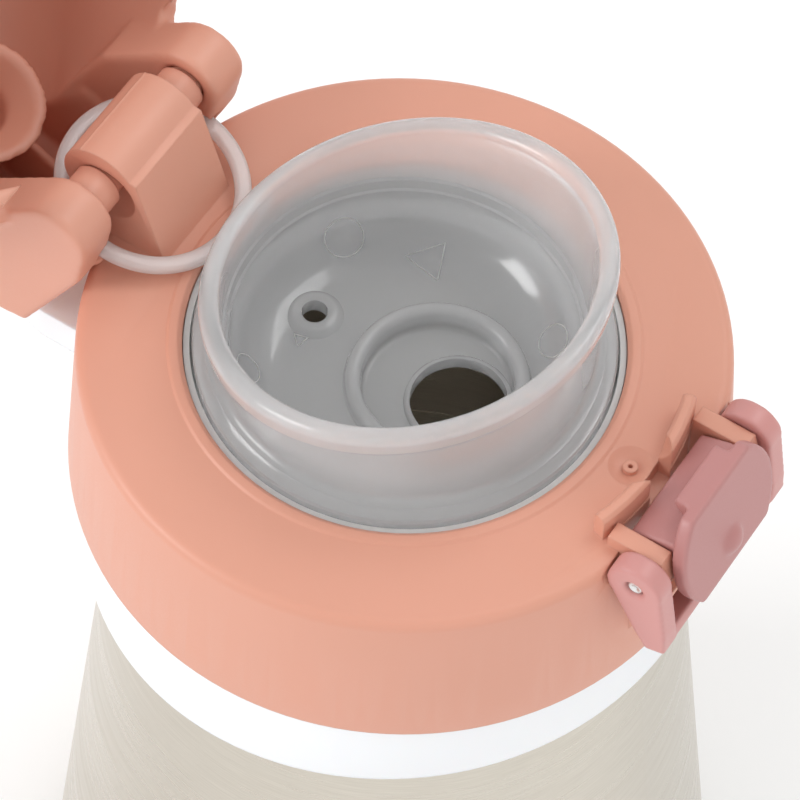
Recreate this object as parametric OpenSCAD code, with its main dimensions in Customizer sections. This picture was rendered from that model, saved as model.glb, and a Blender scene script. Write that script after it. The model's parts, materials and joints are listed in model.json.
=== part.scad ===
// Insulated children's drinking bottle: double-wall steel flask, white neck ring,
// screw-on collar with a drinking mouthpiece, and a flip cap with a push button and a lock bail.
// Millimetres. +Z up, +X towards the latch, the cap's hinge at -X.
// The origin is the centre of the underside, where the bottle stands.

/* [Flask] */
// Height from the underside to the flat top of the collar
collar_top_z = 132; // [120:1:160]
// Radius of the steel body at the underside
base_r = 42.3; // [38:0.1:46]
// Radius of the steel body just under the neck
shoulder_r = 30.3; // [29.5:0.1:31.5]
// Wall of the outer steel shell
shell_wall = 0.8; // [0.5:0.1:1.2]
// Wall of the inner steel flask
flask_wall = 0.7; // [0.5:0.1:1.0]
// Evacuated gap between the two steel walls
vacuum_gap = 3.2; // [2:0.1:4.5]
// Outer radius of the flask's neck
neck_r = 26; // [25.6:0.1:26.6]
// Height of the neck above the shoulder
neck_h = 16.3; // [15:0.1:17]

/* [Neck ring] */
// Radius of the white ring under the collar
ring_r = 35.3; // [34.5:0.1:36]
// Tilt of the ring's lower edge, rising towards the latch, in degrees
ring_tilt = 6.4; // [0:0.1:8]
// Depth of the ring's lower edge below the collar's foot, on the axis
ring_depth = 14; // [10:0.1:15]
// Reach of the strap lug behind the ring
lug_reach = 14; // [10:0.5:18]
// Width of the strap lug
lug_w = 14.6; // [12:0.2:20]

/* [Collar] */
// Radius of the collar at its top edge
collar_top_r = 34.5; // [33.5:0.1:36]
// Radius of the collar at its foot
collar_foot_r = 35.9; // [35:0.1:37.5]
// Height of the collar's outside
collar_h = 19.9; // [17:0.1:22]
// Wall of the collar's skirt
collar_wall = 2.2; // [1.6:0.1:2.6]
// Radius of the opening in the collar's top
opening_r = 23.3; // [23:0.1:24]
// Rounding of the collar's top edge
collar_round = 1.2; // [0.8:0.1:3]

/* [Mouthpiece] */
// Outer radius of the drinking rim
rim_r = 21.9; // [20.5:0.05:22.2]
// Thickness of the drinking rim
rim_t = 2.2; // [1.6:0.1:2.6]
// Height of the rim's middle above the collar's top
rim_h = 12.8; // [9:0.1:15]
// Slant of the rim, rising towards the latch, in degrees
rim_tilt = 11.5; // [0:0.5:13]
// Radius of the mouthpiece's flange
flange_r = 22.3; // [21.8:0.1:22.6]
// Radius of the drink well in the bowl's floor
well_r = 8; // [7:0.1:9]
// Radius of the drink hole in the well's floor
drink_hole_r = 5.2; // [4:0.1:6]
// Radius of the air vent
vent_r = 1.4; // [1:0.1:2]

/* [Cap] */
// Height of the closed cap above the collar's top
cap_h = 41; // [38:0.5:46]
// Radius of the cap at its rim
cap_r = 34; // [33:0.1:35]
// Wall of the cap
cap_wall = 2; // [1.6:0.1:2.6]
// Angle to which the cap opens, in degrees
cap_open = 152; // [120:1:160]

/* [Hinge] */
// Distance of the hinge axis behind the bottle's axis
hinge_x = 34.3; // [33.5:0.1:35.5]
// Height of the hinge axis above the collar's top
hinge_h = 8.5; // [7.5:0.1:10]
// Radius of the hinge pin
pin_r = 2.1; // [1.6:0.05:2.4]
// Width of the collar's hinge knuckle
knuckle_w = 12; // [10:0.2:14]

/* [Latch] */
// Distance of the latch pin in front of the bottle's axis
latch_x = 35.4; // [35.2:0.1:36.4]
// Depth of the latch pin below the collar's top
latch_drop = 0.4; // [0:0.1:1]
// Radius of the latch pin
latch_pin_r = 1.0; // [0.8:0.05:1.2]
// Clear width between the latch bracket's walls
bracket_gap = 14.8; // [13:0.1:16]
// Thickness of the latch bracket's walls
bracket_wall = 2; // [1.6:0.1:2.4]
// Thickness of the lock bail's arms
bail_arm_t = 2.6; // [2:0.1:3]

/* [Hidden] */
// Tessellation of arcs; a circle with it is a true circle
$fn = 96;
// Running clearance round a pin, on the radius
run = 0.05;
// Gap between faces of pieces that move past each other
gap = 0.3;
// Gap between fixed pieces that sit in each other
seat = 0.1;
// Overlap that joins solids inside one piece
weld = 0.2;
// Overshoot of a cutting shape past the face it cuts
past = 1;
// Size of a cutting shape that reaches past the whole part
far = 100;

// Heights that the pieces share
collar_foot_z = collar_top_z - collar_h;
shoulder_z = collar_foot_z - 5;
mouth_z = shoulder_z + neck_h;
body_slope = (base_r - shoulder_r) / shoulder_z;
hinge_z = collar_top_z + hinge_h;
latch_z = collar_top_z - latch_drop;

// Radius of the steel cone at a height
function cone_r(z) = base_r - body_slope * z;
// Points of an arc from angle a0 to a1 about (x, z)
function arc(x, z, r, a0, a1, n = 10) =
    [for (i = [0 : n]) [x + r * cos(a0 + (a1 - a0) * i / n), z + r * sin(a0 + (a1 - a0) * i / n)]];

module tube(r_out, r_in, z0, z1) {
    translate([0, 0, z0]) difference() {
        cylinder(r = r_out, h = z1 - z0);
        translate([0, 0, -past]) cylinder(r = r_in, h = z1 - z0 + 2 * past);
    }
}

// A rod along Y, centred on the symmetry plane
module rod_y(r, w) {
    rotate([90, 0, 0]) cylinder(r = r, h = w, center = true);
}

// A side-view outline, given as (x, z) points, made w thick across Y
module slab_y(w) {
    rotate([90, 0, 0]) linear_extrude(w, center = true) children();
}

// ---- Flask ----

// The foot of the steel shell
foot_round = 3.5;
// How far the base cup and its cover sit up inside the shell
cup_z = 3.2;
cup_t = 0.8;
cover_t = 0.6;
floor_z = 7.5;
rim_bead = 0.9;

module outer_shell() {
    outer = concat(
        [[base_r - foot_round - 1.2, 0]],
        arc(base_r - foot_round, foot_round, foot_round, -90, -6),
        [[shoulder_r, shoulder_z]],
        arc(neck_r + 1.5, shoulder_z + 2.6, 1.5, -90, -180),
        [[neck_r, mouth_z]]);
    inner = [
        [neck_r - shell_wall, mouth_z],
        [neck_r - shell_wall, shoulder_z + 1.4],
        [shoulder_r - shell_wall, shoulder_z - shell_wall],
        [base_r - shell_wall - 0.3, foot_round],
        [base_r - foot_round - 1.2, shell_wall]];
    color("silver") rotate_extrude() polygon(concat(outer, inner));
}

module inner_flask() {
    r_top = neck_r - shell_wall - seat;
    r_low = cone_r(floor_z) - shell_wall - vacuum_gap;
    r_high = shoulder_r - shell_wall - vacuum_gap;
    high_z = shoulder_z - 8;
    outer = concat(
        [[0, floor_z]],
        arc(r_low - 6, floor_z + 6, 6, -90, 0),
        [[r_high, high_z], [r_top, shoulder_z], [r_top, mouth_z],
         [neck_r, mouth_z], [neck_r, mouth_z + rim_bead]]);
    inner = concat(
        [[r_top - flask_wall, mouth_z + rim_bead], [r_top - flask_wall, shoulder_z],
         [r_high - flask_wall, high_z]],
        arc(r_low - 6, floor_z + 6, 6 - flask_wall, 0, -90),
        [[0, floor_z + flask_wall]]);
    color("gainsboro") rotate_extrude() polygon(concat(outer, inner));
}

module base_cup() {
    color("darkgray") difference() {
        translate([0, 0, cup_z]) cylinder(r = base_r - 2 * shell_wall, h = cup_t);
        translate([0, 0, cup_z - past]) cylinder(r = seal_r + seat, h = cup_t + 2 * past);
    }
}

// Radius of the disc that closes the pumping hole
seal_r = 3;

module vacuum_seal() {
    color("dimgray") translate([0, 0, cup_z]) cylinder(r = seal_r, h = cup_t);
    color("dimgray") translate([0, 0, cup_z - 0.6]) cylinder(r = seal_r + 1.2, h = 0.6);
}

module base_cap() {
    r = base_r - foot_round - 1.2 - seat;
    color("silver") difference() {
        cylinder(r = r, h = cover_t);
        tube(25, 24, -past, cover_t / 3);
    }
}

// ---- Neck ring ----

module lug_outline() {
    x0 = -ring_r;
    difference() {
        union() {
            translate([x0 - lug_reach + lug_w / 2, 0]) circle(r = lug_w / 2);
            translate([x0 - lug_reach + lug_w / 2, -lug_w / 2])
                square([lug_reach - lug_w / 2 + 8, lug_w]);
            translate([x0 - 1, -lug_w / 2 - 3.6]) square([9, lug_w + 7.2]);
        }
        for (side = [-1, 1])
            translate([x0 - 1.4, side * (lug_w / 2 + 4)]) circle(r = 4);
        translate([x0 - lug_reach + 5.2, -3.2]) circle(r = 2.2);
        translate([x0 - lug_reach + 5.2, 3.2]) circle(r = 2.2);
        translate([x0 - lug_reach + 3, -3.2]) square([4.4, 6.4]);
    }
}

lug_z = collar_foot_z - 6.2;
lug_t = 5;

module neck_ring() {
    low_z = collar_foot_z - ring_depth - 6;
    top_z = collar_foot_z - gap;
    color("white") difference() {
        union() {
            rotate_extrude() polygon([
                [ring_r - 0.6, low_z], [ring_r, top_z], [neck_r + 3.4, top_z],
                [neck_r + 3.4, shoulder_z + 0.4], [shoulder_r + 0.3, shoulder_z],
                [cone_r(low_z) + seat, low_z]]);
            difference() {
                translate([0, 0, lug_z]) linear_extrude(lug_t) lug_outline();
                translate([0, 0, lug_z - past]) cylinder(r = ring_r - 1.5, h = lug_t + 2 * past);
            }
        }
        translate([0, 0, collar_foot_z - ring_depth]) rotate([0, -ring_tilt, 0])
            translate([-far, -far, -far]) cube([2 * far, 2 * far, far]);
    }
}

// ---- Lid: seal, liner and collar ----

liner_in_r = neck_r + 0.9;
liner_wall = 1.8;
seal_t = 1.6;
seal_z = mouth_z + rim_bead + 0.1;
liner_top_z = collar_top_z - 3.2;
// Shelf of the liner that carries the mouthpiece, above the neck seal
shelf_z = seal_z + seal_t + seat;
shelf_t = 1.4;

module neck_seal() {
    color("whitesmoke") tube(neck_r + 0.5, 21.6, seal_z, seal_z + seal_t);
}

module thread_liner() {
    low_z = collar_foot_z + 1.2;
    color("gainsboro") union() {
        tube(liner_in_r + liner_wall, liner_in_r, low_z, liner_top_z);
        tube(liner_in_r + weld, flange_r - 1.7, shelf_z, shelf_z + shelf_t);
        tube(liner_in_r + weld, flange_r + 0.25, shelf_z + shelf_t - weld, liner_top_z);
        tube(opening_r - seat, flange_r + 0.25, liner_top_z - 1, collar_top_z - 0.6);
    }
}

// Latch pocket, bracket and rails on the front of the collar
pocket_x = 31.3;
rail_x = pocket_x - seat;
rail_in = 29.7;
rail_h = 6.4;
rail_bevel = 0.4;
rail_from = 4;
rail_to = 17;
rail_gap = 4.2;
gate_x = 27.6;
// Ball that makes the gate mark's dimple
gate_r = 4;
gate_z = collar_top_z + gate_r - 0.8;
bracket_top = collar_top_z + 1.7;
pocket_z = collar_top_z - 15;
bracket_out = bracket_gap / 2 + bracket_wall;

module bracket_side(y0) {
    translate([0, y0 + bracket_wall / 2, 0]) slab_y(bracket_wall) polygon([
        [pocket_x - 0.8, bracket_top], [latch_x + 1.4, bracket_top],
        [latch_x + 2.2, collar_top_z - 1.2], [latch_x + 2.2, collar_top_z - 2.4],
        [latch_x + 0.6, collar_top_z - 8.5],
        [latch_x - 2, pocket_z - 1], [pocket_x - 0.8, pocket_z - 1]]);
}

module rail(a0, a1) {
    translate([0, 0, collar_top_z - 3]) rotate([0, 0, a0])
        rotate_extrude(angle = a1 - a0) polygon([
            [rail_in, 0], [rail_x, 0], [rail_x, rail_h - rail_bevel], [rail_x - rail_bevel, rail_h],
            [rail_in + rail_bevel, rail_h], [rail_in, rail_h - rail_bevel]]);
}

// Round of the knuckle, and how deep it is let into the collar
knuckle_r = 4.6;
knuckle_foot_z = collar_top_z - 5;

module knuckle() {
    x = -hinge_x;
    slab_y(knuckle_w) union() {
        polygon([
            [x + 6, collar_top_z - 2], [x + 8.2, collar_top_z - 0.6], [x + 4.6, hinge_z + 2.6],
            [x - 2.5, hinge_z + 4], [x - 3.8, hinge_z + 1.5], [x - 3.6, collar_top_z + 2.5],
            [x - 1.2, knuckle_foot_z], [x + 4, knuckle_foot_z]]);
        translate([x, hinge_z]) circle(r = knuckle_r);
    }
}

module collar() {
    inner_r = collar_foot_r - collar_wall;
    color("lightsalmon") difference() {
        union() {
            difference() {
                rotate_extrude() polygon(concat(
                    [[collar_foot_r, collar_foot_z]],
                    arc(collar_top_r - collar_round, collar_top_z - collar_round, collar_round, 5, 90),
                    [[opening_r + 1.7, collar_top_z], [opening_r + 1.4, collar_top_z + 0.25],
                     [opening_r + 0.5, collar_top_z + 0.25], [opening_r, collar_top_z - 0.2],
                     [opening_r, liner_top_z + 0.1], [collar_top_r - 4.4, liner_top_z + 0.1],
                     [collar_top_r - 2.4, liner_top_z - 2], [inner_r, collar_foot_z]]));
                // room for the bail's arms
                for (side = [-1, 1])
                    translate([latch_x, side * (bracket_out + bail_arm_t / 2), latch_z])
                        rod_y(bail_r + gap, bail_arm_t + 4 * gap);
            }
            bracket_side(bracket_gap / 2);
            bracket_side(-bracket_gap / 2 - bracket_wall);
            rail(rail_from, rail_to);
            rail(-rail_to, -rail_from);
            // back wall of the latch pocket
            intersection() {
                tube(pocket_x, rail_in, pocket_z, collar_top_z - 1);
                translate([0, -bracket_out, pocket_z]) cube([far, 2 * bracket_out, far]);
            }
            knuckle();
        }
        // latch pocket
        difference() {
            translate([0, -bracket_gap / 2, pocket_z]) cube([far, bracket_gap, far]);
            translate([0, 0, pocket_z - past]) cylinder(r = pocket_x, h = 2 * far);
        }
        // gap between the rails for the cap's catch
        translate([rail_in, -rail_gap / 2, collar_top_z - 2]) cube([6, rail_gap, 10]);
        translate([-hinge_x, 0, hinge_z]) rod_y(pin_r + seat, knuckle_w + 2 * past);
        translate([latch_x, 0, latch_z]) rod_y(latch_pin_r + seat / 2, 2 * bracket_out + 2 * past);
        // gate mark
        translate([gate_x, 0, gate_z]) sphere(r = gate_r);
    }
    color("lightsalmon") translate([gate_x, 0, collar_top_z - 2]) tube(0.8, 0.25, 0, 1.9);
}

// ---- Mouthpiece ----

well_x = 4.2;
hole_x = 6.9;
vent_x = -11.3;
bowl_z = collar_top_z - 4.8;
well_z = collar_top_z - 6.2;
skin = 1.2;
flange_z = shelf_z + shelf_t + 2 * 0.05 + 1;
wall_r = rim_r - 0.6;

module mouthpiece() {
    mid_z = collar_top_z + rim_h;
    color("white", 0.6) difference() {
        union() {
            // cup wall with a rounded foot, cut to the slant of the rim
            difference() {
                rotate_extrude() polygon(concat(
                    [[0, bowl_z - skin]],
                    arc(wall_r - 4, bowl_z + 4 - skin, 4, -90, 0),
                    [[wall_r, mid_z + 8], [wall_r - 1.3, mid_z + 8], [wall_r - 1.6, bowl_z + 6.4],
                     [wall_r - 2.4, bowl_z + 5.6]],
                    arc(wall_r - 5.4, bowl_z + 3, 3, 0, -90),
                    [[0, bowl_z]]));
                translate([0, 0, mid_z]) rotate([0, -rim_tilt, 0])
                    translate([-far, -far, -0.6]) cube([2 * far, 2 * far, far]);
            }
            // drinking rim
            translate([0, 0, mid_z]) rotate([0, -rim_tilt, 0]) rotate_extrude()
                polygon(concat(
                    arc(rim_r - 0.9, -0.9, 0.9, 0, 90, 5),
                    arc(rim_r - rim_t + 0.7, -0.7, 0.7, 90, 180, 5),
                    [[rim_r - rim_t, -2.4], [rim_r - rim_t + 0.4, -3], [rim_r - 0.4, -3], [rim_r, -2.6]]));
            // flange that sits on its seal in the collar
            tube(flange_r, wall_r - 1, flange_z, flange_z + 1.4);
            tube(wall_r + 0.5, wall_r - 1, flange_z, flange_z + 2.4);
            // drink well with a raised lip
            translate([well_x, 0, 0]) {
                tube(well_r + 1.8, well_r, bowl_z - weld, bowl_z + 1.3);
                translate([0, 0, well_z - skin]) cylinder(r = well_r + skin, h = bowl_z - well_z);
            }
            // raised seat of the air vent
            translate([vent_x, 0, bowl_z - 2 * skin]) cylinder(r = 3, h = 2 * skin + 0.7);
        }
        translate([well_x, 0, well_z]) cylinder(r = well_r, h = far);
        translate([hole_x, 0, well_z - skin - past]) cylinder(r = drink_hole_r, h = far);
        translate([vent_x, 0, bowl_z - 2 * skin - past]) cylinder(r = vent_r, h = far);
    }
}

module mouthpiece_seal() {
    color("whitesmoke") tube(flange_r - seat, wall_r - 0.2, shelf_z + shelf_t + 0.05, flange_z - 0.05);
}

// ---- Hinge ----

ear_gap = knuckle_w + 2 * gap + 6;
ear_t = 5.6;
ear_out = ear_gap / 2 + ear_t;

module hinge_pin() {
    color("salmon") translate([-hinge_x, 0, hinge_z]) rod_y(pin_r, 2 * ear_out - 2.4);
}

band_r = 10.6;
band_w = 1.8;
band_t = 1.4;
band_tilt = 13;
band_x = -31.9;
band_z = collar_top_z + 3.15;

// The loop of the spring band, made larger all round by "extra"
module band_loop(extra) {
    translate([band_x, 0, band_z]) rotate([0, band_tilt, 0])
        tube(band_r + extra, band_r - band_w - extra, -band_t / 2 - extra, band_t / 2 + extra);
}

module spring_band() {
    color("white", 0.6) band_loop(0);
}

// ---- Cap, drawn closed and then turned open about the hinge ----

cap_z = collar_top_z + 0.5;
// Flat behind the lock bail, and the half width of the room for its arms
bail_flat_x = 31.2;
bail_room_y = 13.2;
bail_room_h = 16;
// Underside of the catch, clear of the rails and of the button's lip
catch_z = collar_top_z + 3.9;
catch_h = 3.5;
catch_w = 13.2;
ledge_t = 1;
ledge_w = 16;
// Room inside the cap's rim for the rails and the latch bracket
rail_room_x = 28.5;
// Room for the knuckle in the hinge side of the cap
knuckle_room_x = -22;
knuckle_room_h = 24.5;
cap_top_z = collar_top_z + cap_h;
// Housing over the knuckle: its reach behind the axis and its half width
house_x = 40.3;
house_y = ear_gap / 2 + 1.4;
dome_r = 12;

module turned_open() {
    translate([-hinge_x, 0, hinge_z]) rotate([0, -cap_open, 0]) translate([hinge_x, 0, -hinge_z])
        children();
}

module dome(r, top_z, round_r, foot_z) {
    top_r = r - 4;
    rotate_extrude() polygon(concat(
        [[0, foot_z], [r, foot_z], [r, cap_z + 8]],
        arc(top_r - round_r, top_z - round_r, round_r, 8, 90, 12),
        [[0, top_z]]));
}

module housing(inset, foot_z) {
    w = 2 * (house_y - inset);
    x = -house_x + inset;
    slab_y(w) polygon(concat(
        [[-20, foot_z], [x, foot_z]],
        arc(x + 12, cap_top_z - 13 - inset, 12, 180, 100, 8),
        [[-16, cap_top_z - 3 - inset]]));
}

module cap_body() {
    difference() {
        union() {
            dome(cap_r, cap_top_z, dome_r, cap_z);
            housing(0, hinge_z + 2.6);
        }
        dome(cap_r - cap_wall, cap_top_z - cap_wall, dome_r - cap_wall, cap_z - past);
        housing(cap_wall, hinge_z + 1);
    }
}

module cap_shell() {
    color("lightsalmon") difference() {
        turned_open() cap_solid();
        // groove that the spring band lies in while the cap is open
        band_loop(gap);
        // stop faces that meet the collar's edge at full opening
        translate([0, 0, collar_foot_z]) cylinder(r = collar_top_r + gap, h = collar_h + gap);
    }
}

module cap_solid() {
    difference() {
        union() {
            difference() {
                cap_body();
                // opening round the knuckle, so the cap clears the collar when it swings
                translate([knuckle_room_x - far, -ear_gap / 2, cap_z - past])
                    cube([far, ear_gap, knuckle_room_h]);
                translate([-hinge_x + 6.5 - far, -far / 2, cap_z - past])
                    cube([far, far, hinge_h + 3]);
                // flat and recess behind the lock bail
                translate([bail_flat_x, -bail_room_y, cap_z - past])
                    cube([20, 2 * bail_room_y, bail_room_h]);
                // room for the rails and the latch bracket
                translate([rail_room_x, -bail_room_y, cap_z - past])
                    cube([10, 2 * bail_room_y, past + 3.2]);
            }
            // wall behind the bail
            intersection() {
                translate([bail_flat_x - 1.9, -bail_room_y - 1.3, catch_z])
                    cube([1.9, 2 * bail_room_y + 2.6, bail_room_h - 3.4]);
                dome(cap_r, cap_top_z, dome_r, cap_z);
            }
            // catch tongue with the ledge that the bail locks over
            translate([bail_flat_x - 1.4, -catch_w / 2, catch_z]) cube([4.3, catch_w, catch_h]);
            translate([bail_flat_x - 1.4, -ledge_w / 2, catch_z + catch_h - ledge_t])
                cube([6.5, ledge_w, ledge_t]);
            // hinge ears
            for (side = [-1, 1])
                translate([0, side * (ear_gap / 2 + ear_t / 2), 0]) {
                    translate([-hinge_x, 0, hinge_z]) rod_y(4.2, ear_t);
                    slab_y(ear_t) polygon([
                        [-hinge_x + 4, hinge_z - 1.4], [-hinge_x + 8, hinge_z + 8],
                        [-hinge_x + 8, hinge_z + 27], [-house_x + 1, hinge_z + 19],
                        [-house_x + 0.6, hinge_z + 3.4], [-hinge_x - 4.1, hinge_z - 0.8]]);
                }
            // post for the spring band, with its two ribs
            translate([post_x, 0, post_z]) {
                difference() {
                    union() {
                        cylinder(r = 4.6, h = cap_top_z - post_z - 1);
                        cylinder(r1 = 7.3, r2 = 4.6, h = 3.6);
                    }
                    translate([0, 0, -past]) cylinder(r = 3.4, h = 9);
                    translate([0, 0, -0.01]) cylinder(r1 = 5.9, r2 = 3.4, h = 3);
                }
                for (side = [-1, 1])
                    translate([-14, side * 3 - 0.6, 6]) cube([11, 1.2, cap_top_z - post_z - 8]);
            }
        }
        translate([-hinge_x, 0, hinge_z]) rod_y(pin_r + run, 2 * ear_out - 2);
    }
}

post_x = -20.5;
post_z = collar_top_z + 24;
carrier_z = cap_top_z - cap_wall - 1.6;
carrier_r = 15;
drink_stem_r = 4.6;
vent_stem_r = 1.8;

module plug_carrier() {
    color("mistyrose") turned_open() {
        translate([0, 0, carrier_z]) intersection() {
            cylinder(r = carrier_r, h = 1.5);
            translate([-13.7, -far / 2, -past]) cube([far, far, far]);
        }
        translate([well_x, 0, bowl_z + 4.6]) cylinder(r = drink_stem_r, h = carrier_z - bowl_z - 4);
        translate([vent_x, 0, bowl_z + 3]) cylinder(r = vent_stem_r, h = carrier_z - bowl_z - 2.5);
    }
}

module drink_plug() {
    z = bowl_z + 1.3 + gap;
    color("white", 0.6) turned_open() translate([well_x, 0, 0]) {
        translate([0, 0, z]) cylinder(r = well_r + 1.2, h = 1.2);
        translate([0, 0, z - 2.4]) cylinder(r1 = 5.4, r2 = 6.6, h = 2.4 + weld);
        difference() {
            translate([0, 0, z + 1]) cylinder(r = drink_stem_r + 1.4, h = 5);
            translate([0, 0, bowl_z + 4.6 - seat]) cylinder(r = drink_stem_r + seat, h = 10);
        }
    }
}

module vent_plug() {
    z = bowl_z + 0.7 + gap;
    color("white", 0.6) turned_open() translate([vent_x, 0, 0]) difference() {
        translate([0, 0, z]) cylinder(r = vent_stem_r + 1, h = 4.4);
        translate([0, 0, bowl_z + 3 - seat]) cylinder(r = vent_stem_r + seat, h = 10);
    }
}

// ---- Latch ----

plate_lean = 14;
plate_r = 8.6;
plate_t = 1.7;
bump_r = 2.2;

module push_button() {
    w = bracket_gap - 2 * gap;
    color("rosybrown") difference() {
        union() {
            // thumb plate
            translate([latch_x + 2.5, 0, latch_z - 0.6]) rotate([0, 90 - plate_lean, 0])
                linear_extrude(plate_t) intersection() {
                    circle(r = plate_r);
                    translate([-6.6, -plate_r]) square([12.4, 2 * plate_r]);
                }
            // hub round the pin, and the web to the plate
            translate([latch_x, 0, latch_z]) rod_y(2.2, w);
            slab_y(w) polygon([
                [pocket_x + 0.5, collar_top_z + 0.6], [pocket_x + 0.5, collar_top_z - 2.4],
                [latch_x, latch_z - 2.2], [latch_x + 3.2, latch_z - 2.2],
                [latch_x + 2.4, latch_z + 3], [latch_x - 0.4, collar_top_z + 1.9]]);
            // hook lip
            slab_y(8) polygon([
                [latch_x - 0.6, collar_top_z + 4.4], [latch_x + 1.8, collar_top_z + 2],
                [latch_x + 2.2, collar_top_z + 5.6], [latch_x - 0.6, collar_top_z + 5.5]]);
            // finger bump
            translate([latch_x + 2.5, 0, latch_z - 0.6]) rotate([0, 90 - plate_lean, 0])
                translate([2.5, 0, plate_t - weld]) rotate_extrude()
                    polygon(concat([[0, 0]], arc(0, -bump_r / 2, bump_r, 30, 90, 6)));
        }
        translate([latch_x, 0, latch_z]) rod_y(latch_pin_r + run, w + 2 * past);
        // seat of the spring
        translate([latch_x + 2, 0, spring_z]) rotate([0, 90, 0]) cylinder(r = spring_r + gap, h = 2.1);
    }
}

module latch_pin() {
    w = 2 * (bracket_out + gap + bail_arm_t) - 0.6;
    color("silver") translate([latch_x, 0, latch_z]) rod_y(latch_pin_r, w);
}

spring_z = latch_z - 5;
spring_r = 2;

// The coil spring, as a sleeve of its outside size
module button_spring() {
    color("silver") translate([pocket_x + seat, 0, spring_z]) rotate([0, 90, 0])
        tube(spring_r, spring_r - 0.6, 0, latch_x + 4 - pocket_x - 2 * seat);
}

bail_r = 3.2;
bar_in = 8.4;
bar_t = 1.7;
hang = 71;

module lock_bail() {
    y0 = bracket_out + gap;
    color("rosybrown") translate([latch_x, 0, latch_z]) rotate([0, hang, 0]) difference() {
        union() {
            for (side = [-1, 1]) translate([0, side * (y0 + bail_arm_t / 2), 0]) slab_y(bail_arm_t)
                union() {
                    circle(r = bail_r);
                    polygon([[0, -bail_r], [bar_in - 1, -1.9], [bar_in + bar_t, -1.2],
                        [bar_in + bar_t, 1.2], [bar_in - 1, 1.9], [0, bail_r]]);
                }
            translate([bar_in, -y0 - 1, -1.2]) cube([bar_t, 2 * y0 + 2, 2.4]);
        }
        rod_y(latch_pin_r + run, 2 * (y0 + bail_arm_t) + 2 * past);
    }
}

outer_shell();
inner_flask();
base_cup();
vacuum_seal();
base_cap();
neck_ring();
neck_seal();
collar();
thread_liner();
mouthpiece();
mouthpiece_seal();
hinge_pin();
spring_band();
cap_shell();
plug_carrier();
drink_plug();
vent_plug();
push_button();
latch_pin();
button_spring();
lock_bail();
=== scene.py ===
import json
import math
import bpy
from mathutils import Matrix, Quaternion, Vector


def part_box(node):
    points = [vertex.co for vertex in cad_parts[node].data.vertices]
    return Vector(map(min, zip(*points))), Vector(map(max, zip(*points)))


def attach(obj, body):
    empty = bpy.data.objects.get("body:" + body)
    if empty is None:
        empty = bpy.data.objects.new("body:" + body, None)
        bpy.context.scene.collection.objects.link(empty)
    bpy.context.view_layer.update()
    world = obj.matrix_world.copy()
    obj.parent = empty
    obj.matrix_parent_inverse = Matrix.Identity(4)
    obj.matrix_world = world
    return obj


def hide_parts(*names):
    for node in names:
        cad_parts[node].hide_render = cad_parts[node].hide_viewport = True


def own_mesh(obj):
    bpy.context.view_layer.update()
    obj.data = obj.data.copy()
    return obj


# Studio scene of an insulated children's bottle: flip cap open, mouthpiece in view.
# Blender works in metres. The sizes of pieces are millimetres, and mm() turns them to metres.

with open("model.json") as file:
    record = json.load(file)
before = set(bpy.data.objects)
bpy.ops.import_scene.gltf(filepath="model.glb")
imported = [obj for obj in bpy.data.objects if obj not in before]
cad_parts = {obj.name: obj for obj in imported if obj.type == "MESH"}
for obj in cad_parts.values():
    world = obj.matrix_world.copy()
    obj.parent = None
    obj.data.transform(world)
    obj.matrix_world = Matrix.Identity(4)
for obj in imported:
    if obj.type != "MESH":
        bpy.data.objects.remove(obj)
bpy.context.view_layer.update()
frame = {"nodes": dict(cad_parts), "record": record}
nodes = frame["nodes"]


def mm(value):
    return value * 0.001


# Camera

cameraSetup = {
    "azimuth": 30.67,    # degrees round the bottle, 0 looks along +Y
    "elevation": 57.0,
    "roll": 2.66,
    "distance": 470.1,   # from the middle of the collar's top
    "lens": 202.5,
    "shiftX": -0.0065,
    "shiftY": -0.0748,
    "clipEnd": 20,       # metres
}

lipGap = 0.6   # the liner's lip stops this far under the collar's top
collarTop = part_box("thread_liner")[1][2] + mm(lipGap)


def addCamera(setup):
    turn = math.radians(setup["azimuth"])
    lift = math.radians(setup["elevation"])
    level = math.cos(lift)
    back = Vector((math.sin(turn) * level, -math.cos(turn) * level, math.sin(lift)))
    target = Vector((0, 0, collarTop))
    bpy.ops.object.camera_add(location=target + back * mm(setup["distance"]))
    camera = bpy.context.object
    camera.name = "camera"
    camera.rotation_mode = "QUATERNION"
    aim = (-back).to_track_quat("-Z", "Y")
    camera.rotation_quaternion = aim @ Quaternion((0, 0, 1), math.radians(setup["roll"]))
    camera.data.lens = setup["lens"]
    camera.data.shift_x = setup["shiftX"]
    camera.data.shift_y = setup["shiftY"]
    camera.data.clip_end = setup["clipEnd"]
    bpy.context.scene.camera = camera


addCamera(cameraSetup)
print("camera placed")

# Floor and light, in metres

studio = {
    "floorSize": 6.0,
    "floorHeight": -0.0002,   # just under the bottle's foot
    "floorColor": (0.985, 0.985, 0.985),
    "floorRoughness": 0.9,
    "worldColor": (1.0, 1.0, 1.0),
    "worldStrength": 0.84,
    "lampAim": (0, 0, 0.13),
}

lamps = {   # place, size and watts of each
    "key_light": ((-0.75, -0.75, 0.75), (0.5, 0.5), 5.4),
    "top_light": ((0.25, 0.55, 1.1), (0.5, 0.5), 2.2),
    "fill_light": ((0.9, -0.5, 0.5), (0.6, 0.8), 0.6),
}


def deselect():
    if bpy.context.object and bpy.context.object.mode != "OBJECT":
        bpy.ops.object.mode_set(mode="OBJECT")
    bpy.ops.object.select_all(action="DESELECT")


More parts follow.
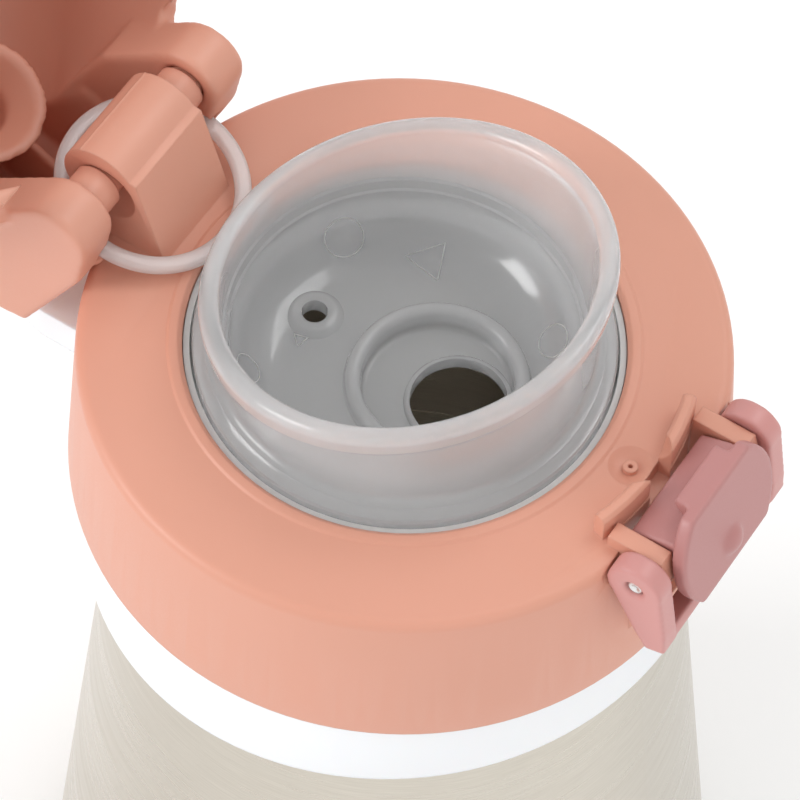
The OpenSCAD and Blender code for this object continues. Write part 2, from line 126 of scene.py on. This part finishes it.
def addFloor():
    deselect()
    place = (0, 0, studio["floorHeight"])
    bpy.ops.mesh.primitive_plane_add(size=studio["floorSize"], location=place)
    floor = bpy.context.object
    floor.name = "studio_floor"
    material = bpy.data.materials.new("floor_paper")
    material.use_nodes = True
    shader = material.node_tree.nodes["Principled BSDF"]
    shader.inputs["Base Color"].default_value = (*studio["floorColor"], 1)
    shader.inputs["Roughness"].default_value = studio["floorRoughness"]
    floor.data.materials.append(material)


def addLight(name, place, size, power):
    deselect()
    bpy.ops.object.light_add(type="AREA", location=place)
    lamp = bpy.context.object
    lamp.name = name
    lamp.data.shape = "RECTANGLE"
    lamp.data.size = size[0]
    lamp.data.size_y = size[1]
    lamp.data.energy = power
    aim = Vector(studio["lampAim"]) - Vector(place)
    lamp.rotation_euler = aim.to_track_quat("-Z", "Y").to_euler()


def setWorld():
    world = bpy.data.worlds.new("studio_world")
    bpy.context.scene.world = world
    bpy.context.scene.view_settings.view_transform = "Standard"   # keeps the paper white
    world.use_nodes = True
    background = world.node_tree.nodes["Background"]
    background.inputs["Color"].default_value = (*studio["worldColor"], 1)
    background.inputs["Strength"].default_value = studio["worldStrength"]


addFloor()
setWorld()
for lampName, lampSetup in lamps.items():
    addLight(lampName, *lampSetup)
print("studio set")

# Materials

grainLook = {   # the fine grain on every plastic and steel surface
    "strength": 0.12,
    "depth": 0.05,
    "edgeSamples": 4,
}

plasticLook = {
    "cloudScale": 35,      # slow change of colour
    "grainScale": 5200,
    "refraction": 1.49,
    "glowDepth": 2,
    "glowColors": (1.0, 0.5, 0.35),
}

clearLook = {
    "cloudScale": 60,
    "swirlScale": 240,
    "cloudShade": 0.965,   # the clouds' share of the tint
    "refraction": 1.33,
    "glowDepth": 3,
    "skin": 0.8,
    "skinRoughness": 0.06,
}

noiseSpan = (0.3, 0.7)   # a noise seldom leaves this span

steelLook = {
    "lineScale": 5200,
    "coarseShare": 0.13,
    "turnShare": 0.0009,   # how little the lines change round the bottle
    "anisotropy": 0.55,
    "edge": 0.3,
}


def newMaterial(name):
    material = bpy.data.materials.new(name)
    material.use_nodes = True
    tree = material.node_tree
    shader = tree.nodes["Principled BSDF"]
    coords = tree.nodes.new("ShaderNodeTexCoord")
    return material, tree, shader, coords.outputs["Object"]


def addNoise(tree, vector, scale, detail=3.0, roughness=0.5):
    noise = tree.nodes.new("ShaderNodeTexNoise")
    noise.inputs["Scale"].default_value = scale
    noise.inputs["Detail"].default_value = detail
    noise.inputs["Roughness"].default_value = roughness
    tree.links.new(vector, noise.inputs["Vector"])
    return noise.outputs["Fac"]


def mapTo(tree, value, low, high):
    # spreads the noise's usual span from low to high
    node = tree.nodes.new("ShaderNodeMapRange")
    node.inputs["From Min"].default_value = noiseSpan[0]
    node.inputs["From Max"].default_value = noiseSpan[1]
    node.inputs["To Min"].default_value = low
    node.inputs["To Max"].default_value = high
    tree.links.new(value, node.inputs["Value"])
    return node.outputs["Result"]


def mixColors(tree, value, first, second):
    node = tree.nodes.new("ShaderNodeMix")
    node.data_type = "RGBA"
    node.inputs[6].default_value = (*first, 1)    # colour A
    node.inputs[7].default_value = (*second, 1)   # colour B
    tree.links.new(value, node.inputs[0])
    return node.outputs[2]


def softEdges(tree, shader, radius, grain):
    edge = tree.nodes.new("ShaderNodeBevel")   # rounds what the light sees of a sharp corner
    edge.samples = grainLook["edgeSamples"]
    edge.inputs["Radius"].default_value = mm(radius)
    bump = tree.nodes.new("ShaderNodeBump")
    bump.inputs["Strength"].default_value = grainLook["strength"]
    bump.inputs["Distance"].default_value = mm(grainLook["depth"])
    tree.links.new(grain, bump.inputs["Height"])
    tree.links.new(edge.outputs["Normal"], bump.inputs["Normal"])
    tree.links.new(bump.outputs["Normal"], shader.inputs["Normal"])


def plastic(name, light, dark, roughness, edge, glow):
    material, tree, shader, place = newMaterial(name)
    cloud = addNoise(tree, place, plasticLook["cloudScale"], 2)
    grain = addNoise(tree, place, plasticLook["grainScale"], 2, 0.6)
    color = mixColors(tree, mapTo(tree, cloud, 0, 1), light, dark)
    tree.links.new(color, shader.inputs["Base Color"])
    polish = mapTo(tree, grain, roughness - 0.04, roughness + 0.05)
    tree.links.new(polish, shader.inputs["Roughness"])
    shader.inputs["IOR"].default_value = plasticLook["refraction"]
    shader.inputs["Subsurface Weight"].default_value = glow
    shader.inputs["Subsurface Scale"].default_value = mm(plasticLook["glowDepth"])
    shader.inputs["Subsurface Radius"].default_value = plasticLook["glowColors"]
    softEdges(tree, shader, edge, grain)
    return material


def clearPlastic(name, tint, roughness, seeThrough, glow, opacity):
    # milky see-through plastic: faint clouds in its colour and its polish, and a shinier skin
    material, tree, shader, place = newMaterial(name)
    cloud = addNoise(tree, place, clearLook["cloudScale"], 3)
    swirl = addNoise(tree, place, clearLook["swirlScale"], 2)
    darker = tuple(part * clearLook["cloudShade"] for part in tint)
    color = mixColors(tree, mapTo(tree, cloud, 0, 1), tint, darker)
    tree.links.new(color, shader.inputs["Base Color"])
    polish = mapTo(tree, swirl, roughness - 0.02, roughness + 0.03)
    tree.links.new(polish, shader.inputs["Roughness"])
    shader.inputs["IOR"].default_value = clearLook["refraction"]
    shader.inputs["Transmission Weight"].default_value = seeThrough
    shader.inputs["Alpha"].default_value = opacity
    shader.inputs["Subsurface Weight"].default_value = glow
    shader.inputs["Subsurface Radius"].default_value = (1.0, 1.0, 1.0)
    shader.inputs["Subsurface Scale"].default_value = mm(clearLook["glowDepth"])
    shader.inputs["Coat Weight"].default_value = clearLook["skin"]
    shader.inputs["Coat Roughness"].default_value = clearLook["skinRoughness"]
    return material


def brushedSteel(name, light, dark, roughness):
    # fine lines round the Z axis: they change with height and hardly at all with the turn
    material, tree, shader, place = newMaterial(name)
    split = tree.nodes.new("ShaderNodeSeparateXYZ")
    tree.links.new(place, split.inputs["Vector"])
    angle = tree.nodes.new("ShaderNodeMath")
    angle.operation = "ARCTAN2"
    tree.links.new(split.outputs["Y"], angle.inputs[0])
    tree.links.new(split.outputs["X"], angle.inputs[1])
    wide = tree.nodes.new("ShaderNodeMath")
    wide.operation = "MULTIPLY"
    wide.inputs[1].default_value = steelLook["turnShare"]
    tree.links.new(angle.outputs["Value"], wide.inputs[0])
    joined = tree.nodes.new("ShaderNodeCombineXYZ")
    tree.links.new(wide.outputs["Value"], joined.inputs["X"])
    tree.links.new(split.outputs["Z"], joined.inputs["Z"])
    lineScale = steelLook["lineScale"]
    lines = addNoise(tree, joined.outputs["Vector"], lineScale, 4, 0.65)
    coarse = addNoise(tree, joined.outputs["Vector"], lineScale * steelLook["coarseShare"], 2)
    color = mixColors(tree, mapTo(tree, lines, 0, 1), dark, light)
    tree.links.new(color, shader.inputs["Base Color"])
    polish = mapTo(tree, coarse, roughness - 0.06, roughness + 0.08)
    tree.links.new(polish, shader.inputs["Roughness"])
    shader.inputs["Metallic"].default_value = 1.0
    shader.inputs["Anisotropic"].default_value = steelLook["anisotropy"]
    tangent = tree.nodes.new("ShaderNodeTangent")
    tangent.direction_type = "RADIAL"
    tangent.axis = "Z"
    tree.links.new(tangent.outputs["Tangent"], shader.inputs["Tangent"])
    softEdges(tree, shader, steelLook["edge"], lines)
    return material


# One look for each of the record's material slots.
# Steel: light, dark, roughness. Plastic: light, dark, roughness, edge, glow.
# Clear plastic: tint, roughness, see-through, glow, opacity.

looks = {
    "steel_outer": brushedSteel("outer_steel", (0.65, 0.61, 0.535), (0.56, 0.52, 0.45), 0.3),
    # painted shade: the steel inside the flask is the same steel as outside, coloured darker to
    # stand in for the shade inside it
    "steel_inner": brushedSteel("inner_steel_painted_shade", (0.56, 0.52, 0.46), (0.47, 0.44, 0.39), 0.3),
    "base_steel": brushedSteel("spun_base_steel", (0.62, 0.6, 0.56), (0.5, 0.48, 0.45), 0.36),
    "base_plate": brushedSteel("cup_steel", (0.56, 0.55, 0.53), (0.45, 0.44, 0.43), 0.4),
    "seal_metal": brushedSteel("seal_metal", (0.42, 0.42, 0.43), (0.33, 0.33, 0.34), 0.5),
    "ring_white": plastic("ring_plastic", (0.9, 0.91, 0.925), (0.86, 0.875, 0.9),
                          0.42, 0.5, 0.1),
    "silicone_white": plastic("seal_silicone", (0.84, 0.84, 0.83), (0.8, 0.8, 0.79),
                              0.55, 0.3, 0.15),
    "coral": plastic("coral_plastic", (0.71, 0.335, 0.24), (0.68, 0.32, 0.225),
                     0.4, 0.3, 0.05),
    "liner": clearPlastic("liner_plastic", (0.8, 0.79, 0.77), 0.35, 0.2, 0.4, 1.0),
    "mouthpiece_clear": clearPlastic("mouthpiece_plastic", (0.97, 0.98, 0.995),
                                     0.18, 0.66, 0.8, 0.8),
    "silicone_clear": clearPlastic("clear_silicone", (0.93, 0.91, 0.87), 0.4, 0.3, 0.5, 1.0),
    "pin_coral": plastic("pin_plastic", (0.7, 0.33, 0.235), (0.67, 0.315, 0.225),
                         0.38, 0.2, 0.05),
    "band_clear": clearPlastic("band_silicone", (0.93, 0.9, 0.89), 0.35, 0.5, 0.6, 0.85),
    "carrier": plastic("carrier_plastic", (0.84, 0.69, 0.64), (0.8, 0.65, 0.6),
                       0.42, 0.4, 0.05),
    "plug_clear": clearPlastic("plug_silicone", (0.9, 0.89, 0.87), 0.42, 0.4, 0.5, 1.0),
    "button_pink": plastic("button_plastic", (0.5, 0.225, 0.215), (0.47, 0.21, 0.2),
                           0.36, 0.6, 0.05),
    "pin_steel": brushedSteel("pin_steel", (0.78, 0.78, 0.77), (0.66, 0.66, 0.65), 0.22),
    "spring_steel": brushedSteel("spring_wire", (0.62, 0.62, 0.61), (0.5, 0.5, 0.5), 0.3),
    "bail_pink": plastic("bail_plastic", (0.62, 0.285, 0.265), (0.59, 0.27, 0.25),
                         0.36, 0.5, 0.05),
}

nodeSlots = {part["node"]: part["material_slot"] for part in frame["record"]["subparts"]}


def paint(piece, slotName):
    piece.data.materials.clear()
    piece.data.materials.append(looks[slotName])


for nodeName, node in nodes.items():
    paint(node, nodeSlots[nodeName])
print("materials made")

# Helpers for the pieces

meshCare = {
    "copyMerge": 0.004,    # points of a copy nearer than this are one
    "flatAngle": 0.6,      # degrees; faces flatter than this are joined
    "turnMerge": 0.005,
    "smoothAngle": 32,     # degrees; corners sharper than this stay sharp
}


def bodyOf(nodeName):
    for body, members in frame["record"]["behaviour"]["bodies"].items():
        if nodeName in members:
            return body
    return None


def copyNode(nodeName, pieceName):
    deselect()
    node = nodes[nodeName]
    bpy.context.view_layer.objects.active = node
    node.select_set(True)
    bpy.ops.object.duplicate(linked=False)
    piece = bpy.context.object
    piece.name = pieceName
    piece.data.name = pieceName
    bpy.ops.object.mode_set(mode="EDIT")
    bpy.ops.mesh.select_all(action="SELECT")
    bpy.ops.mesh.remove_doubles(threshold=mm(meshCare["copyMerge"]))
    bpy.ops.mesh.customdata_custom_splitnormals_clear()
    bpy.ops.mesh.dissolve_limited(angle_limit=math.radians(meshCare["flatAngle"]))
    bpy.ops.mesh.normals_make_consistent(inside=False)
    bpy.ops.object.mode_set(mode="OBJECT")
    return piece


def applyModifier(piece, kind, name, **settings):
    deselect()
    bpy.context.view_layer.objects.active = piece
    piece.select_set(True)
    modifier = piece.modifiers.new(name, kind)
    for key, value in settings.items():
        setattr(modifier, key, value)
    bpy.ops.object.modifier_apply(modifier=modifier.name)


def roundEdges(piece, edge):
    applyModifier(piece, "BEVEL", "round_edges", width=mm(edge["width"]), segments=edge["segments"],
                  limit_method="ANGLE", angle_limit=math.radians(edge["angle"]),
                  use_clamp_overlap=True)


def finishPiece(piece, body, slotName, *replaced):
    deselect()
    bpy.context.view_layer.objects.active = piece
    piece.select_set(True)
    bpy.ops.object.shade_smooth_by_angle(angle=math.radians(meshCare["smoothAngle"]))
    paint(piece, slotName)
    if replaced:
        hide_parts(*replaced)
    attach(piece, body)
    piece.select_set(False)


# Turned pieces


def arcPoints(x, z, radius, start, end, count):
    points = []
    for i in range(count + 1):
        turn = math.radians(start + (end - start) * i / count)
        points.append((x + radius * math.cos(turn), z + radius * math.sin(turn)))
    return points


def turnedPiece(name, outline, steps, closed=True):
    # an outline of (radius, height) points in millimetres, drawn point by point and spun about Z
    deselect()
    bpy.ops.mesh.primitive_plane_add(size=mm(1), location=(0, 0, 0))
    piece = bpy.context.object
    piece.name = name
    piece.data.name = name
    bpy.ops.object.mode_set(mode="EDIT")
    bpy.ops.mesh.select_all(action="SELECT")
    bpy.ops.mesh.merge(type="CENTER")
    here = outline[0]
    bpy.ops.transform.translate(value=(mm(here[0]), 0, mm(here[1])))
    path = list(outline[1:])
    if closed:
        path.append(outline[0])
    for point in path:
        step = (mm(point[0] - here[0]), 0, mm(point[1] - here[1]))
        bpy.ops.mesh.extrude_vertices_move(TRANSFORM_OT_translate={"value": step})
        here = point
    bpy.ops.mesh.select_all(action="SELECT")
    bpy.ops.mesh.remove_doubles(threshold=mm(meshCare["turnMerge"]))
    bpy.ops.mesh.spin(steps=steps, angle=math.tau, center=(0, 0, 0), axis=(0, 0, 1))
    bpy.ops.mesh.select_all(action="SELECT")
    bpy.ops.mesh.remove_doubles(threshold=mm(meshCare["turnMerge"]))
    bpy.ops.mesh.normals_make_consistent(inside=False)
    bpy.ops.object.mode_set(mode="OBJECT")
    return piece


def placePiece(piece, location, rotation=(0, 0, 0)):
    deselect()
    bpy.context.view_layer.objects.active = piece
    piece.select_set(True)
    piece.location = location
    piece.rotation_euler = rotation
    bpy.ops.object.transform_apply(location=True, rotation=True, scale=True)


def combine(piece, tool, operation):
    applyModifier(piece, "BOOLEAN", "combine", object=tool, operation=operation, solver="EXACT")
    bpy.data.objects.remove(tool)


def addDrum(radius, low, high, x, sides):
    # a plain upright cylinder to cut with, its ends measured from the collar's top
    deselect()
    bpy.ops.mesh.primitive_cylinder_add(vertices=sides, radius=mm(radius), depth=mm(high - low),
                                        location=(mm(x), 0, collarTop + mm((low + high) / 2)))
    drum = bpy.context.object
    bpy.ops.object.transform_apply(location=True, rotation=True, scale=True)
    return drum


# Mouthpiece, with heights from the collar's top

mouthpieceShape = {
    "wall": 21.3,        # outer radius of the cup
    "floor": -4.8,       # top of the bowl's floor
    "skin": 1.2,
    "flange": 22.3,
    "flangeLow": -3.35,
    "rimRadius": 21.9,
    "rimInner": 19.7,
    "rimHeight": 12.7,
    "rimOuterRound": 1.1,
    "rimInnerRound": 0.9,
    "bowlRadius": 6.5,   # of the curve from the wall to the floor
    "bowlMiddle": 12.0,
    "rimTilt": 12.6,     # degrees, rising towards the latch
    "tiltFrom": 2.4,     # the wall starts to lean here
    "tiltFull": 9.0,     # and leans fully from here up
    "wellX": 4.2,
    "wellRadius": 8.0,
    "wellFloor": -6.2,
    "wellCorner": 0.5,
    "lipRound": 0.85,
    "holeX": 6.9,
    "holeRadius": 5.2,
    "holeBorder": 0.55,
    "ventX": -11.3,
    "ventRadius": 1.4,
    "cutReach": 3,       # how far a cutter passes the floor
    "sides": 144,
    "wellSides": 96,
    "borderSides": 64,
    "ventSides": 48,
}

mouldingMarks = {
    "wire": 0.06,
    "rings": [   # (x, y), radius, corners, cuts in each side
        ((-13.6, 9.1), 2.2, 48, 1),
        ((12.0, 10.6), 1.9, 48, 1),
        ((-12.8, -10.6), 1.7, 48, 1),
        ((-4.9, 12.6), 2.6, 3, 12),   # a plain mark, without signs or letters
        ((-10.9, -3.4), 0.9, 3, 6),
    ],
}


def tiltRings(piece, low, high, degrees):
    # rings above low lean more and more, fully from high up, each about its own middle
    sameLevel = 1e-7
    levels = sorted({round(vertex.co.z, 7) for vertex in piece.data.vertices if vertex.co.z > low})
    deselect()
    bpy.context.view_layer.objects.active = piece
    piece.select_set(True)
    for level in levels:
        share = min((level - low) / (high - low), 1.0)
        lean = math.radians(degrees) * share
        bpy.ops.object.mode_set(mode="EDIT")
        bpy.ops.mesh.select_all(action="DESELECT")
        bpy.ops.object.mode_set(mode="OBJECT")
        for vertex in piece.data.vertices:
            vertex.select = abs(vertex.co.z - level) < sameLevel and not vertex.hide
        bpy.ops.object.mode_set(mode="EDIT")
        bpy.ops.transform.rotate(value=lean, orient_axis="Y", center_override=(0, 0, level))
        bpy.ops.mesh.hide(unselected=False)   # a ring that has leaned isn't picked again
        bpy.ops.object.mode_set(mode="OBJECT")
    bpy.ops.object.mode_set(mode="EDIT")
    bpy.ops.mesh.reveal(select=False)
    bpy.ops.object.mode_set(mode="OBJECT")


def mouthpieceOutline(shape):
    # half a section of the cup, from the middle of its underside round to the middle of its floor
    wall, floor, flange, low = shape["wall"], shape["floor"], shape["flange"], shape["flangeLow"]
    rim, inner, top = shape["rimRadius"], shape["rimInner"], shape["rimHeight"]
    outerRound, innerRound = shape["rimOuterRound"], shape["rimInnerRound"]
    bowl, middle = shape["bowlRadius"], shape["bowlMiddle"]
    points = [(0, floor - shape["skin"])]
    points += arcPoints(middle, floor + bowl, bowl + shape["skin"], -90, -40, 6)
    # the flange, and the groove above it
    points += [(wall - 1.2, low + 0.2), (flange, low), (flange, -0.1)]
    points += [(flange - 0.2, 0.2), (wall - 0.1, 0.5), (wall - 0.35, 0.8)]
    points += arcPoints(wall - 0.1, 2.0, 1.2, 262, 182, 5)
    # up the outside, over the rim and down the inside
    points += [(wall - 1.25, 3.4), (wall - 0.7, 8.2), (wall - 0.35, 9.2), (rim - 0.15, 10.0)]
    points += arcPoints(rim - outerRound, top - outerRound, outerRound, -10, 90, 6)
    points += arcPoints(inner + innerRound, top - innerRound, innerRound, 90, 180, 6)
    points += [(inner - 0.05, 9.4), (inner - 0.35, 5.2), (inner - 0.6, 2.5), (inner - 0.85, 2.2)]
    points += [(inner - 0.95, 0.9), (inner - 1.2, 0.6)]
    points += arcPoints(middle, floor + bowl, bowl, -8, -90, 12)
    points += [(0, floor)]
    return points


def wellOutline(shape):
    # the drink well's underside, its rounded lip and its floor
    floor, well, bottom = shape["floor"], shape["wellRadius"], shape["wellFloor"]
    corner, lip = shape["wellCorner"], shape["lipRound"]
    points = [(0, bottom - shape["skin"]), (well + 0.6, bottom - shape["skin"])]
    points += [(well + 1.3, floor - 0.8), (well + 2.1, floor - 0.3), (well + 1.9, floor + 0.2)]
    points += arcPoints(well + 0.95, floor + 0.45, lip, 0, 180, 10)
    points += [(well, bottom + corner)]
    points += arcPoints(well - corner, bottom + corner, corner, 0, -90, 4)
    points += [(0, bottom)]
    return points


def ventOutline(shape):
    floor = shape["floor"]
    return [(0, floor - 0.6), (3.3, floor - 0.6), (3.1, floor), (2.6, floor + 0.5),
            (2.2, floor + 0.7), (0, floor + 0.7)]


def addTurned(piece, name, outline, x, sides, closed=False):
    tool = turnedPiece(name, outline, sides, closed)
    placePiece(tool, (mm(x), 0, collarTop))
    combine(piece, tool, "UNION")


def makeMouthpiece(shape):
    piece = turnedPiece("mouthpiece_cup", mouthpieceOutline(shape), shape["sides"], closed=False)
    tiltRings(piece, mm(shape["tiltFrom"]), mm(shape["tiltFull"]), shape["rimTilt"])
    placePiece(piece, (0, 0, collarTop))
    floor, reach = shape["floor"], shape["cutReach"]
    wellX, holeX, ventX = shape["wellX"], shape["holeX"], shape["ventX"]
    wellSides, ventSides = shape["wellSides"], shape["ventSides"]
    # the well: a cup of its own with a rounded lip, let into the bowl's floor
    opening = addDrum(shape["wellRadius"] + 0.1, floor - reach, floor + reach, wellX, wellSides)
    combine(piece, opening, "DIFFERENCE")
    addTurned(piece, "well_cup", wellOutline(shape), wellX, wellSides)
    # the drink hole with its rounded border, and the air vent on its boss
    edge = shape["holeRadius"] + 0.1
    border = arcPoints(edge, shape["wellFloor"], shape["holeBorder"], 0, 330, 11)
    addTurned(piece, "hole_border", border, holeX, shape["borderSides"], closed=True)
    addTurned(piece, "vent_boss", ventOutline(shape), ventX, ventSides)
    hole = addDrum(shape["holeRadius"], floor - 2 * reach, floor, holeX, wellSides)
    combine(piece, hole, "DIFFERENCE")
    vent = addDrum(shape["ventRadius"], floor - 2 * reach, floor + reach, ventX, ventSides)
    combine(piece, vent, "DIFFERENCE")
    finishPiece(piece, "lid", "mouthpiece_clear", "mouthpiece")
    return piece


def addRing(cup, wire, place, radius, corners, cuts):
    # a fine raised line, laid on the bowl's own surface
    x, y = place
    deselect()
    bpy.ops.mesh.primitive_circle_add(vertices=corners, radius=mm(radius), fill_type="NOTHING")
    ring = bpy.context.object
    bpy.ops.object.mode_set(mode="EDIT")
    bpy.ops.mesh.subdivide(number_cuts=cuts)
    bpy.ops.object.mode_set(mode="OBJECT")
    bowl = mouthpieceShape["bowlRadius"]
    lean = math.asin(max((math.hypot(x, y) - mouthpieceShape["bowlMiddle"]) / bowl, 0))
    height = mouthpieceShape["floor"] + bowl * (1 - math.cos(lean))
    placePiece(ring, (mm(x), mm(y), collarTop + mm(height)), (0, -lean, math.atan2(y, x)))
    applyModifier(ring, "SHRINKWRAP", "lie_on_bowl", target=cup, wrap_method="NEAREST_SURFACEPOINT")
    bpy.ops.object.convert(target="CURVE")
    bpy.context.object.data.bevel_depth = mm(wire)
    bpy.ops.object.convert(target="MESH")
    return bpy.context.object


def makeMarks(cup, marks):
    rings = [addRing(cup, marks["wire"], *ring) for ring in marks["rings"]]
    deselect()
    for ring in rings:
        ring.select_set(True)
    bpy.context.view_layer.objects.active = rings[0]
    bpy.ops.object.join()
    rings[0].name = "moulding_marks"
    finishPiece(rings[0], "lid", "plug_clear")


# Spring band

bandShape = {
    "outer": 10.6,
    "width": 1.8,
    "thick": 1.4,
    "round": 0.5,
    "x": -31.9,
    "z": 3.15,
    "lean": 13,    # degrees
    "sides": 128,
}


def makeBand(shape):
    corner = shape["round"]
    half = shape["thick"] / 2 - corner
    high, low = shape["outer"] - corner, shape["outer"] - shape["width"] + corner
    outline = []
    for start, x, z in ((0, high, half), (90, low, half), (180, low, -half), (270, high, -half)):
        outline += arcPoints(x, z, corner, start, start + 90, 5)
    band = turnedPiece("spring_band_loop", outline, shape["sides"])
    lean = math.radians(shape["lean"])
    placePiece(band, (mm(shape["x"]), 0, collarTop + mm(shape["z"])), (0, lean, 0))
    finishPiece(band, "lid", "band_clear", "spring_band")
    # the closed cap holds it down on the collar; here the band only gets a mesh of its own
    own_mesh(band)


# Pins

hingeShape = {
    "x": -34.3,
    "z": 8.5,
    "pin": 2.1,
    "collar": 2.7,      # radius where the pin is thicker
    "half": 13.6,
    "knuckle": 6.15,    # the thicker part runs from the knuckle
    "ear": 9.15,        # to the ear
    "endBevel": 0.4,
    "collarBevel": 0.2,
    "sides": 64,
}


def makeHingePin(shape):
    # thicker between the knuckle and each ear
    pin, thick, half = shape["pin"], shape["collar"], shape["half"]
    end, edge = shape["endBevel"], shape["collarBevel"]
    outline = [(0, -half), (pin - end, -half), (pin, -half + end)]
    for side in (-1, 1):
        near, far = sorted((side * shape["ear"], side * shape["knuckle"]))
        outline += [(pin, near), (thick - edge, near), (thick, near + edge)]
        outline += [(thick, far - edge), (thick - edge, far), (pin, far)]
    outline += [(pin, half - end), (pin - end, half), (0, half)]
    piece = turnedPiece("hinge_pin_turned", outline, shape["sides"], closed=False)
    place = (mm(shape["x"]), 0, collarTop + mm(shape["z"]))
    placePiece(piece, place, (math.radians(90), 0, 0))
    finishPiece(piece, "lid", "pin_coral", "hinge_pin")


latchShape = {
    "x": 35.4,
    "z": -0.4,
    "pin": 1.0,
    "half": 12.0,
    "bevel": 0.3,
    "dimple": 0.35,
    "dimpleDeep": 0.25,
    "sides": 48,
}


def makeLatchPin(shape):
    # a steel pin with rounded ends and a centre dimple in each
    pin, half, bevel = shape["pin"], shape["half"], shape["bevel"]
    dimple, deep = shape["dimple"], shape["dimpleDeep"]
    outline = [(0, -half + deep), (dimple, -half + 0.05), (pin - bevel, -half)]
    outline += [(pin, -half + bevel), (pin, half - bevel), (pin - bevel, half)]
    outline += [(dimple, half - 0.05), (0, half - deep)]
    piece = turnedPiece("latch_pin_turned", outline, shape["sides"], closed=False)
    place = (mm(shape["x"]), 0, collarTop + mm(shape["z"]))
    placePiece(piece, place, (math.radians(90), 0, 0))
    finishPiece(piece, "lid", "pin_steel", "latch_pin")


# Button spring

coilShape = {
    "coilX": 31.5,
    "coilZ": -5.4,
    "coilLong": 7.6,
    "radius": 1.65,
    "wire": 0.3,
    "turns": 5,
    "wireSides": 14,
    "steps": 28,       # in each turn
}


def makeCoil(shape):
    wire, turns, steps = shape["wire"], shape["turns"], shape["steps"]
    deselect()
    bpy.ops.mesh.primitive_circle_add(vertices=shape["wireSides"], radius=mm(wire),
                                      fill_type="NOTHING", location=(mm(shape["radius"]), 0, 0),
                                      rotation=(math.radians(90), 0, 0))
    coil = bpy.context.object
    coil.name = "button_spring_coil"
    bpy.ops.object.transform_apply(location=True, rotation=True, scale=True)
    rise = (shape["coilLong"] - 2 * wire) / turns
    applyModifier(coil, "SCREW", "wind", axis="Z", screw_offset=mm(rise), iterations=turns,
                  steps=steps, render_steps=steps, use_merge_vertices=True,
                  merge_threshold=mm(0.001))
    bpy.ops.object.mode_set(mode="EDIT")
    bpy.ops.mesh.select_all(action="SELECT")
    bpy.ops.mesh.fill_holes(sides=20)   # closes the wire's two ends
    bpy.ops.mesh.normals_make_consistent(inside=False)
    bpy.ops.object.mode_set(mode="OBJECT")
    place = (mm(shape["coilX"] + wire), 0, collarTop + mm(shape["coilZ"]))
    placePiece(coil, place, (0, math.radians(90), 0))
    finishPiece(coil, "lid", "spring_steel", "button_spring")
    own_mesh(coil)


# Moulded pieces, from the design's own shapes

collarLook = {
    "width": 0.35,       # of its rounded edges
    "segments": 3,
    "angle": 34,
    "scoop": 5.0,        # radius of the hollows round the pin
    "scoopY": 9.3,
    "scoopForward": 0.6,
    "scoopDown": 1.2,
}


def makeCollar(look):
    piece = copyNode("collar", "collar_moulded")
    for side in (-1, 1):   # hollows round the pin in the knuckle's sides
        deselect()
        place = (mm(hingeShape["x"] + look["scoopForward"]), side * mm(look["scoopY"]),
                 collarTop + mm(hingeShape["z"] - look["scoopDown"]))
        bpy.ops.mesh.primitive_uv_sphere_add(segments=64, ring_count=32, radius=mm(look["scoop"]),
                                             location=place)
        ball = bpy.context.object
        bpy.ops.object.transform_apply(location=True, rotation=True, scale=True)
        combine(piece, ball, "DIFFERENCE")
    roundEdges(piece, look)
    finishPiece(piece, "lid", "coral", "collar")


softLooks = {   # voxel size in millimetres, smoothing passes, share of the faces kept
    "cap_shell": {"voxel": 0.32, "passes": 18, "keep": 0.22},
    "push_button": {"voxel": 0.16, "passes": 20, "keep": 0.5},
    "lock_bail": {"voxel": 0.18, "passes": 20, "keep": 0.5},
}

smoothStep = 0.5   # how far each pass moves a point towards its neighbours


def softenCopy(nodeName, pieceName, look):
    # the design's shape with all its corners rounded as a mould rounds them
    piece = copyNode(nodeName, pieceName)
    applyModifier(piece, "REMESH", "even_mesh", mode="VOXEL", voxel_size=mm(look["voxel"]),
                  use_smooth_shade=True)
    applyModifier(piece, "SMOOTH", "round_corners", factor=smoothStep,
                  iterations=look["passes"])
    applyModifier(piece, "DECIMATE", "lighter_mesh", ratio=look["keep"])
    finishPiece(piece, bodyOf(nodeName), nodeSlots[nodeName], nodeName)


ringEdge = {"width": 0.5, "segments": 4, "angle": 34}


def makeNeckRing(edge):
    piece = copyNode("neck_ring", "neck_ring_moulded")
    roundEdges(piece, edge)
    finishPiece(piece, "bottle", "ring_white", "neck_ring")


# All the pieces

makeMarks(makeMouthpiece(mouthpieceShape), mouldingMarks)
print("mouthpiece made")
makeBand(bandShape)
makeHingePin(hingeShape)
makeLatchPin(latchShape)
makeCoil(coilShape)
print("band, pins and spring made")
makeCollar(collarLook)
print("collar made")
for nodeName, look in softLooks.items():
    softenCopy(nodeName, nodeName + "_moulded", look)
    print(nodeName, "made")
makeNeckRing(ringEdge)
print("neck ring made")
